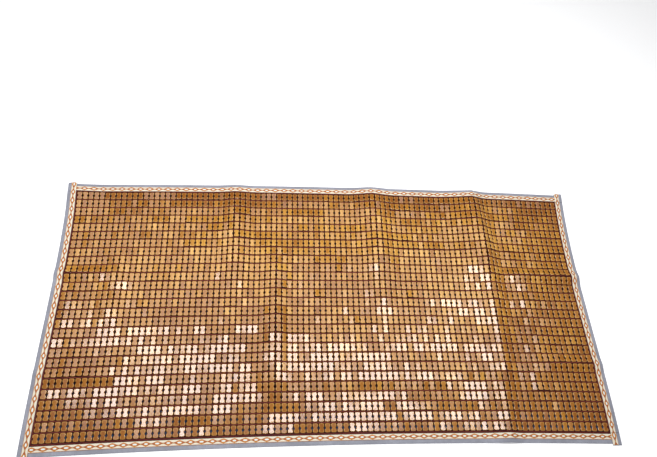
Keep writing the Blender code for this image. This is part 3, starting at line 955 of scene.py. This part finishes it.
def long_edge(side, share, out):
    """A point `share` of the way along the front or back edge and `out` outside the net."""
    row = ROWS if side > 0 else 0
    column = share * COLUMNS
    rail_x = np.interp(column, np.arange(COLUMNS + 1), net_x[row])
    rail_y = np.interp(column, np.arange(COLUMNS + 1), net_y[row])
    left, right = short_edge_x(-1, float(side)), short_edge_x(1, float(side))
    v = side * (1.0 + (EDGE_CORD_WIDTH + out) / HALF_DEPTH)
    end_gap = EDGE_CORD_WIDTH - SEAM_GAP
    start, end = short_edge_x(-1, v) - end_gap, short_edge_x(1, v) + end_gap
    x = start + (rail_x - left) / (right - left) * (end - start)
    y = rail_y + side * (EDGE_CORD_WIDTH + out)
    return x, y, floor_height(rail_x, rail_y) * droop(out)


def short_edge(side, share, out):
    """The same along the left or right edge, which runs on past the net at both ends."""
    column = COLUMNS if side > 0 else 0
    rail_x, rail_y = net_x[:, column], net_y[:, column]
    v_end = 1.0 + END_REACH / HALF_DEPTH
    end_x = short_edge_x(side, np.array([-v_end, v_end]))
    path_x = np.concatenate([end_x[:1], rail_x, end_x[1:]])
    path_y = np.concatenate([[rail_y[0] - END_REACH], rail_y, [rail_y[-1] + END_REACH]])
    y = path_y[0] + share * (path_y[-1] - path_y[0])
    x = np.interp(y, path_y, path_x)
    inside = np.clip(y, rail_y[0], rail_y[-1])
    end_part = np.abs(y - inside) / END_REACH
    height = floor_height(np.interp(inside, path_y, path_x), inside)
    height = height * (1.0 - BAND_DROOP * end_part) * droop(out)
    return x + side * (EDGE_CORD_WIDTH + out), y, height


def swept_strip(edge, side, shares, section, rise):
    """A closed strip: the section's points carried along an edge, with both ends capped.

    `section` is the distance outwards of each point of the closed section, and `rise` its
    height above the mat's underside, given for each station and each point.
    """
    x, y, z = edge(side, shares[:, None], section[None, :])
    points = np.stack(np.broadcast_arrays(x, y, z + rise), axis=-1)
    stations, count = points.shape[:2]
    points = points.reshape(-1, 3)
    blocks = swept_faces(1, stations, count)
    # The run is measured along one line of points on the strip's top
    run = run_along(points[count // 4::count])
    flat_map = np.stack(np.broadcast_arrays(run[:, None], section[None, :]), axis=-1)
    if signed_volume(points, blocks) < 0.0:
        blocks = [block[:, ::-1] for block in blocks]
    return points, blocks, flat_map.reshape(-1, 2), run[-1]


def signed_volume(points, blocks):
    """Volume inside the faces: positive where they face outwards, from triangle fans."""
    total = 0.0
    for block in blocks:
        first = points[block[:, 0]]
        for k in range(1, block.shape[1] - 1):
            second, third = points[block[:, k]], points[block[:, k + 1]]
            total += (first * np.cross(second, third)).sum() / 6.0
    return total


def strip_piece(name, node, finish, swept):
    points, faces, flat_map, run = swept
    piece = make_piece(name, node, finish, points, faces, {"strip_map": flat_map})
    print(name, "run, metres:", round(run, 3))


# %% Cloth material
CLOTH_DARK, CLOTH_PALE = srgb(142, 144, 155), srgb(168, 170, 183)
CLOTH_SHADE = srgb(122, 124, 138)
CLOTH_THREADS, CLOTH_CLOUD = 1500.0, 0.16
WEAVE_DEPTH = 0.2 * MM


def lay_weave(wiring, shader, place, threads, colour, shade, most):
    """Darken the deeper threads of a weave by up to `most`, and raise it as a bump."""
    weave = wiring.group(WEAVE, {"Vector": place, "Threads per metre": threads})
    deep = wiring.ramp(weave["Thread tone"], 0.35, 0.65, most, 0.0)
    wiring.feed(shader["Base Color"], wiring.mix(deep, colour, shade))
    wiring.feed(shader["Normal"], wiring.bump(weave["Height"], 0.5, WEAVE_DEPTH))


def cloth_material():
    """Grey cloth between two cloudy tones, a little smoother where it is paler."""
    material, wiring, shader = new_material(
        "band_cloth", Metallic=0.0, Sheen_Weight=0.35, Sheen_Roughness=0.35,
        Sheen_Tint=srgb(225, 225, 245),
    )
    cloud = wiring.group(WEAR, {"Vector": wiring.object_place(), "Cloud size": CLOTH_CLOUD})
    dyed = wiring.mix(cloud["Cloud"], CLOTH_DARK, CLOTH_PALE)
    wiring.feed(shader["Roughness"], wiring.ramp(cloud["Cloud"], 0.0, 1.0, 0.62, 0.5))
    place = wiring.uv("strip_map")
    lay_weave(wiring, shader, place, CLOTH_THREADS, dyed, CLOTH_SHADE, 0.35)
    return material


CLOTH = ("band_cloth", cloth_material())

# %% Sweep the bands
BAND_STEP = 4.0 * MM
BAND_INNER_TOP, BAND_BRAID_TOP, BAND_FOLD_TOP = 3.0 * MM, 2.8 * MM, 2.2 * MM
FOLD_RADIUS = 1.0 * MM
PUCKER_DEPTH = 0.45 * MM
# Points across a band, outwards along its top and back along its underside
TOP_STATIONS = np.array([0.0, 9.0, BRAID_WIDTH / MM, 22.0, 25.0, 28.0, 30.0]) * MM
UNDER_STATIONS = np.array([26.0, 13.0, 0.0]) * MM
# Angles of the points on the fold, and the share of the puckers that each of them keeps
FOLD_ANGLES, FOLD_SHARES = np.radians([75.0, 30.0, -30.0, -75.0]), (0.5, 0.0, 0.0, 0.0)
# Wave length and share of each wave
PUCKERS = [(61.0 * MM, 0.4), (37.0 * MM, 0.35), (23.0 * MM, 0.25)]
# Past the braid the waves rise and sink again over this share of half a sine wave
PUCKER_TURN = 0.75
PUCKER_PHASES = {"front": 0.4, "back": 1.9, "left": 2.6, "right": 4.1}


def pucker(run, out, phase):
    """Low waves along the seam, none under the braid and fullest on the way to the fold."""
    waves = sum(
        share * np.sin(2.0 * np.pi * run / wave_length + phase * (k + 1))
        for k, (wave_length, share) in enumerate(PUCKERS)
    )
    fade = np.sin(np.pi * past_braid(out) * PUCKER_TURN)
    return PUCKER_DEPTH * waves[:, None] * fade[None, :]


def band_section():
    """Distances, heights and puckered shares round the section: top, fold and underside."""
    top_rise = np.interp(TOP_STATIONS, [0.0, BRAID_WIDTH, BAND_WIDTH],
                         [BAND_INNER_TOP, BAND_BRAID_TOP, BAND_FOLD_TOP])
    fold_out = BAND_WIDTH - FOLD_RADIUS + FOLD_RADIUS * np.cos(FOLD_ANGLES)
    fold_rise = FOLD_RADIUS + FOLD_RADIUS * np.sin(FOLD_ANGLES)
    flat = np.zeros(len(UNDER_STATIONS))
    out = np.concatenate([TOP_STATIONS, fold_out, UNDER_STATIONS])
    rise = np.concatenate([top_rise, fold_rise, flat])
    return out, rise, np.concatenate([np.ones(len(TOP_STATIONS)), FOLD_SHARES, flat])


LONG_BAND_LENGTH = FIELD_LENGTH + 2.0 * EDGE_CORD_WIDTH
SHORT_BAND_LENGTH = 2.0 * (HALF_DEPTH + EDGE_CORD_WIDTH + BAND_WIDTH + SHORT_BAND_OVERHANG)
# The function that gives places along an edge, the edge's side and a strip's length there
EDGES = {
    "front": (long_edge, -1, LONG_BAND_LENGTH), "back": (long_edge, 1, LONG_BAND_LENGTH),
    "left": (short_edge, -1, SHORT_BAND_LENGTH), "right": (short_edge, 1, SHORT_BAND_LENGTH),
}
for where, phase in PUCKER_PHASES.items():
    edge, side, length = EDGES[where]
    shares = np.linspace(0.0, 1.0, int(length / BAND_STEP) + 1)
    section, rise, on_top = band_section()
    wave = pucker(shares * length, section, phase) * on_top
    strip_piece("band_" + where, "cloth_band_" + where, CLOTH,
                swept_strip(edge, side, shares, section, rise + wave))

# %% [markdown]
# ## Woven braid
# The braid is a jacquard tape: a chain of pointed eyes, large and small by turns, in orange
# brown on cream, joined by a tan line, each with a pale heart. An image could carry that,
# but it isn't needed, because the repeat is short. Along the tape a saw-tooth gives the
# distance d to the nearest eye's middle, and t is the distance from the tape's own middle line.
# The field 1 - (d / a)^p - |t| / b is one at an eye's middle and falls outwards in pointed
# ovals, so that steps on it draw the eye and the halo round it. An ellipse draws the heart.

# %% Braid sizes
LARGE_EYE, SMALL_EYE = 15.4 * MM, 12.8 * MM
EYE_HEIGHT = 6.2 * MM
EYE_POINT = 1.25
HEART_LENGTH, HEART_HEIGHT = 0.42, 2.5 * MM
EYE_HALO, CREAM, TAN_LINE = srgb(228, 206, 168), srgb(244, 237, 218), srgb(206, 162, 98)
SIDE_LINE, OUTER_LINE = srgb(236, 206, 168), srgb(214, 140, 92)
EYE_MIDDLE, EYE_TIP, HEART = srgb(206, 128, 34), srgb(172, 82, 0), srgb(236, 252, 252)
BRAID_SHADE, BRAID_THREADS = srgb(150, 120, 90), 1300.0


# %% Braid material
def braid_material(name, pitch, first_eye):
    """Steps on the eyes' field give halo, outline and tips, and an ellipse gives the heart."""
    material, wiring, shader = new_material(name, Metallic=0.0, Sheen_Weight=0.05)
    place = wiring.uv("strip_map")
    run, out = wiring.parts(place)[:2]
    count = wiring.math("SUBTRACT", wiring.math("DIVIDE", run, pitch), first_eye)
    nearest = wiring.math("ROUND", count)
    along = wiring.math("ABSOLUTE", wiring.math("MULTIPLY", pitch,
                                                wiring.math("SUBTRACT", count, nearest)))
    is_small = wiring.math("ABSOLUTE", wiring.math("MODULO", nearest, 2.0))
    half = wiring.math("MULTIPLY_ADD", is_small, SMALL_EYE - LARGE_EYE, LARGE_EYE)
    across = wiring.math("ABSOLUTE", wiring.math("SUBTRACT", out, BRAID_WIDTH / 2.0))
    ratio = wiring.math("DIVIDE", along, half)
    falling = wiring.math("POWER", ratio, EYE_POINT)
    field = wiring.math("SUBTRACT", wiring.math("SUBTRACT", 1.0, falling),
                        wiring.math("DIVIDE", across, EYE_HEIGHT))
    inside = wiring.ramp(field, -0.32, -0.18)
    ellipse = wiring.math("ADD", *(
        wiring.math("POWER", wiring.math("DIVIDE", reach, size), 2.0)
        for reach, size in ((ratio, HEART_LENGTH), (across, HEART_HEIGHT))
    ))
    side = wiring.ramp(across, BRAID_WIDTH / 2.0 - 2.4 * MM, BRAID_WIDTH / 2.0 - 0.8 * MM)
    outer = wiring.ramp(out, BRAID_WIDTH - 2.2 * MM, BRAID_WIDTH - 1.0 * MM)
    colour = wiring.layered(
        EYE_HALO,
        (wiring.ramp(field, -0.45, -0.12, 1.0, 0.0), CREAM),
        (wiring.ramp(across, 1.4 * MM, 3.2 * MM, 1.0, 0.0), TAN_LINE),
        (wiring.math("MULTIPLY", side, 0.5), SIDE_LINE),
        (wiring.math("MULTIPLY", outer, 0.85), OUTER_LINE),
        (inside, wiring.mix(wiring.ramp(ratio, 0.25, 0.75), EYE_MIDDLE, EYE_TIP)),
        (wiring.ramp(ellipse, 0.85, 1.15, 1.0, 0.0), HEART),
    )
    wiring.feed(shader["Roughness"], wiring.ramp(inside, 0.0, 1.0, 0.7, 0.5))
    lay_weave(wiring, shader, place, BRAID_THREADS, colour, BRAID_SHADE, 0.14)
    return material


# %% [markdown]
# The eyes are woven with more yarn than the ground, so they stand up a little. The same field
# is worked out once more with numpy, and lifts the top of the swept strip by a fraction of a
# millimetre, so that the relief is in the mesh and not only in the colour.

# %% Sweep the braids
BRAID_STEP = 2.2 * MM
BRAID_UNDERSIDE, BRAID_EDGE_TOP, BRAID_CROWN = 2.9 * MM, 4.2 * MM, 4.6 * MM
EYE_RELIEF = 0.35 * MM
BRAID_END_INSET = 0.6 * MM
BRAID_SIDE_INSET, BRAID_TOP_POINTS = 0.35 * MM, 15
RELIEF_SLOPE, RELIEF_START = 4.0, 0.4
# Distance between eyes, and the place of one of the large eyes, counted in such distances
EYE_PLACES = {
    "front": (34.0 * MM, 1.27), "back": (34.3 * MM, -0.15),
    "left": (35.5 * MM, 0.18), "right": (35.75 * MM, 0.87),
}


def eye_relief(run, out, pitch, first_eye):
    """Lift inside each eye: the outline's field times a slope, cut off below and on top."""
    count = run / pitch - first_eye
    nearest = np.round(count)
    half = np.where(nearest % 2 == 1, SMALL_EYE, LARGE_EYE)
    along = np.abs(count - nearest) * pitch / half
    across = np.abs(out - BRAID_WIDTH / 2.0) / EYE_HEIGHT
    field = 1.0 - along[:, None] ** EYE_POINT - across[None, :]
    return EYE_RELIEF * np.clip(field * RELIEF_SLOPE + RELIEF_START, 0.0, 1.0)


def braid_section():
    """Distances and heights round the section, crowned by the root of a sine, and its top."""
    top_out = np.linspace(BRAID_SIDE_INSET, BRAID_WIDTH - BRAID_SIDE_INSET, BRAID_TOP_POINTS)
    crown = np.sin(np.pi * top_out / BRAID_WIDTH) ** 0.5
    top_rise = BRAID_EDGE_TOP + (BRAID_CROWN - BRAID_EDGE_TOP) * crown
    out = np.concatenate([top_out, [BRAID_WIDTH, 0.0]])
    rise = np.concatenate([top_rise, np.full(2, BRAID_UNDERSIDE)])
    return out, rise, np.concatenate([np.ones(BRAID_TOP_POINTS), np.zeros(2)])


for where, (pitch, first_eye) in EYE_PLACES.items():
    edge, side, length = EDGES[where]
    inset = BRAID_END_INSET / length if edge is short_edge else 0.0
    shares = np.linspace(inset, 1.0 - inset, int(length / BRAID_STEP))
    section, rise, on_top = braid_section()
    relief = eye_relief(shares * length, section, pitch, first_eye) * on_top
    name = "woven_braid_" + where
    finish = ("woven_braid", braid_material(name, pitch, first_eye))
    strip_piece(name, "braid_" + where, finish,
                swept_strip(edge, side, shares, section, rise + relief))

# %% [markdown]
# ## Corner stitches
# Where a long band ends, the end of the edge cord is stitched down across the short band that
# covers it, and shows there as a few dark stitches in line. Each is a short arched tube, made
# by the same sweep as the cords.

# %% Sew the corners
STITCH_LENGTH, STITCH_GAP, STITCH_RADIUS = 3.0 * MM, 1.4 * MM, 0.5 * MM
STITCH_LIFT = 3.0 * MM
STITCH_POINTS = 5
# Reach outwards at which a row of stitches starts on the left and the right edge, and ends
STITCH_STARTS, STITCH_END = {-1: 19.6 * MM, 1: 1.0 * MM}, 31.0 * MM


def corner_stitches():
    """Each stitch is a few points, raised by half a sine wave over its length."""
    step = np.linspace(0.0, 1.0, STITCH_POINTS)
    from_end = (END_REACH - EDGE_CORD_OFFSET) / SHORT_BAND_LENGTH
    lines = []
    for side, start in STITCH_STARTS.items():
        starts = np.arange(start, STITCH_END - STITCH_LENGTH, STITCH_LENGTH + STITCH_GAP)
        out = starts[:, None] + STITCH_LENGTH * step
        on_braid = np.clip((BRAID_WIDTH - out) / MM, 0.0, 1.0)
        lift = STITCH_LIFT + (BRAID_CROWN - STITCH_LIFT) * on_braid
        lift = lift + STITCH_RADIUS * np.sin(np.pi * step)
        for share in (from_end, 1.0 - from_end):
            x, y, z = short_edge(side, np.full(out.shape, share), out)
            lines.append(np.stack([x, y, z + lift], axis=-1))
    return np.concatenate(lines)


cord_piece("corner_stitches", corner_stitches(), STITCH_RADIUS, KNOT)

# %% [markdown]
# ## Floor and light
# The floor is plain, nearly white and glows a little, so that it comes out as bright as the
# ground in strong light. Under the net it's a dark grey-blue, a little paler near the front,
# because the gaps between tiles look into deep shade there. A studio would hang one large soft
# light overhead, and here it's the wide panel, which lies as a faint veil on the lacquer. The
# lacquer needs one thing more: a long strip that hangs where the camera sees its mirror image
# in the near half of the mat. Tiles that happen to tip the right way then flash, as they do on
# the real mat. A third lamp, behind the camera, lifts the browns.

# %% Floor
FLOOR_HALF = 6.0
FLOOR_GLOW = 0.38
SHADE_MARGIN, SHADE_BLUR, FRONT_LIGHT = 8.0 * MM, 6.0 * MM, 180.0 * MM
PALE, DEEP_SHADE, FRONT_SHADE = (0.93, 0.93, 0.94, 1.0), srgb(26, 36, 52), srgb(56, 96, 132)
GLOWING, NOT_GLOWING = (1.0, 1.0, 1.0, 1.0), (0.0, 0.0, 0.0, 1.0)

floor_corners = [
    (x * FLOOR_HALF, y * FLOOR_HALF, 0.0) for x, y in ((-1, -1), (1, -1), (1, 1), (-1, 1))
]
floor_mesh = bpy.data.meshes.new("floor")
floor_mesh.from_pydata(floor_corners, [], [(0, 1, 2, 3)])
shade_half = (field_high - field_low) / 2.0 + SHADE_MARGIN
floor_material, wiring, floor_shader = new_material(
    "pale_floor", Roughness=0.9, Specular_IOR_Level=0.1, Emission_Strength=FLOOR_GLOW,
)
from_middle = wiring.outputs("VectorMath", {
    0: wiring.object_place(), 1: tuple((field_low + field_high) / 2.0),
}, operation="SUBTRACT")[0]
place = wiring.parts(from_middle)
covered = [
    wiring.ramp(wiring.math("ABSOLUTE", place[axis]),
                shade_half[axis] - SHADE_BLUR, shade_half[axis], 1.0, 0.0)
    for axis in (0, 1)
]
shaded = wiring.math("MULTIPLY", *covered)
near_front = wiring.ramp(place[1], -shade_half[1], FRONT_LIGHT - shade_half[1], 1.0, 0.0)
under_mat = wiring.mix(near_front, DEEP_SHADE, FRONT_SHADE)
wiring.feed(floor_shader["Base Color"], wiring.mix(shaded, PALE, under_mat))
wiring.feed(floor_shader["Emission Color"], wiring.mix(shaded, GLOWING, NOT_GLOWING))
floor_mesh.materials.append(floor_material)
new_object("floor", floor_mesh)

# %% Lamps and world
# Place, the point that the lamp faces, its width and depth, and its power in watts
LAMPS = {
    "strip_lamp": ((-0.2, 0.33, 2.0), (-0.2, 0.29, 0.0), (3.2, 0.32), 32.0),
    "wide_panel": ((-0.05, 0.75, 2.2), (-0.05, 0.2, 0.0), (3.4, 1.6), 30.0),
    "key_lamp": ((-0.8, -1.6, 2.8), (0.0, 0.0, 0.0), (1.2, 1.2), 13.0),
}
ROOM_COLOUR, ROOM_STRENGTH = (0.95, 0.97, 1.0, 1.0), 0.14

for name, (place, aim, size, power) in LAMPS.items():
    lamp = bpy.data.lights.new(name, "AREA")
    lamp.shape = "RECTANGLE"
    lamp.size, lamp.size_y = size
    lamp.energy = power
    turn = (Vector(aim) - Vector(place)).to_track_quat("-Z", "Y")
    holder = new_object(name, lamp)
    holder.matrix_world = Matrix.Translation(place) @ turn.to_matrix().to_4x4()

world = bpy.data.worlds.new("bright_room")
world.use_nodes = True
background = world.node_tree.nodes["Background"].inputs
background["Color"].default_value = ROOM_COLOUR
background["Strength"].default_value = ROOM_STRENGTH
bpy.context.scene.world = world
bpy.context.scene.view_settings.view_transform = "Standard"
